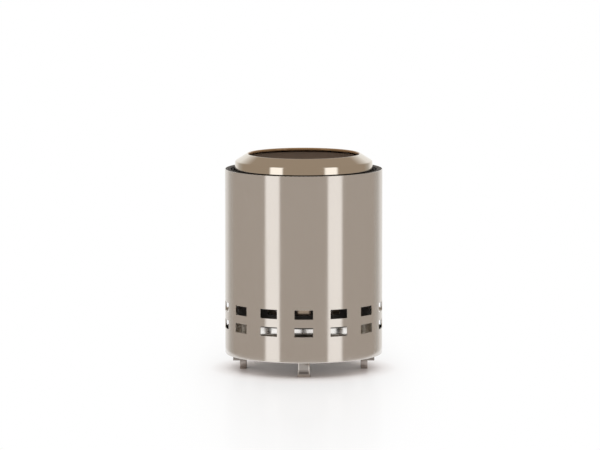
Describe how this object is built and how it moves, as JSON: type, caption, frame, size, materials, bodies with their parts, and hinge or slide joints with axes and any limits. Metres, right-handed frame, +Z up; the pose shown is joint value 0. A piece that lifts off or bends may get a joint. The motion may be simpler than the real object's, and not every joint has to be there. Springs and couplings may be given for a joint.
{
  "type": "smokeless fire pit",
  "caption": "Round triple-wall stainless fire pit with rectangular air vents, lift-off domed flame ring, lift-out grate and ash pan, on stepped feet.",
  "frame": {"origin": "on the ground under the middle of the pit", "axes": "+Z up along the pit's axis, -Y to the front, where the middle column of vents is"},
  "size_m": [0.3, 0.3, 0.4122],
  "materials": {
    "polished_stainless": "polished, warm grey",
    "satin_stainless": "mill satin",
    "fire_darkened_stainless": "smoke-darkened satin",
    "heat_tinted_stainless": "heat-tinted bronze",
    "grate_steel": "dark, fire-blackened"
  },
  "bodies": {
    "stove": {"outer_shell": "polished_stainless", "top_vent_ring": "fire_darkened_stainless", "base_ring": "satin_stainless", "foot_front": "polished_stainless", "foot_right": "polished_stainless", "foot_back": "polished_stainless", "foot_left": "polished_stainless", "foot_rivet_front_inner": "satin_stainless", "foot_rivet_front_outer": "satin_stainless", "foot_rivet_right_inner": "satin_stainless", "foot_rivet_right_outer": "satin_stainless", "foot_rivet_back_inner": "satin_stainless", "foot_rivet_back_outer": "satin_stainless", "foot_rivet_left_inner": "satin_stainless", "foot_rivet_left_outer": "satin_stainless", "jacket": "fire_darkened_stainless", "jacket_floor": "satin_stainless", "jacket_bracket_1": "satin_stainless", "jacket_bracket_2": "satin_stainless", "jacket_bracket_3": "satin_stainless", "jacket_bracket_4": "satin_stainless", "crown_ring": "heat_tinted_stainless", "burn_chamber": "heat_tinted_stainless", "chamber_floor": "heat_tinted_stainless", "chamber_spacer_1": "satin_stainless", "chamber_spacer_2": "satin_stainless", "chamber_spacer_3": "satin_stainless", "chamber_spacer_4": "satin_stainless", "grate_ledge": "heat_tinted_stainless"},
    "ring": {"flame_ring": "polished_stainless", "ring_tab_1": "satin_stainless", "ring_tab_2": "satin_stainless", "ring_tab_3": "satin_stainless", "ring_tab_4": "satin_stainless"},
    "pan": {"ash_pan": "satin_stainless"},
    "grate": {"fuel_grate": "grate_steel"}
  },
  "joints": [
    {"name": "ring_lift", "type": "slide", "parent": "stove", "child": "ring", "axis": [0, 0, 1], "range_m": [0, 0.06]},
    {"name": "pan_lift", "type": "slide", "parent": "stove", "child": "pan", "axis": [0, 0, 1], "range_m": [0, 0.38]},
    {"name": "grate_lift", "type": "slide", "parent": "pan", "child": "grate", "axis": [0, 0, 1], "range_m": [0, 0.35]}
  ]
}
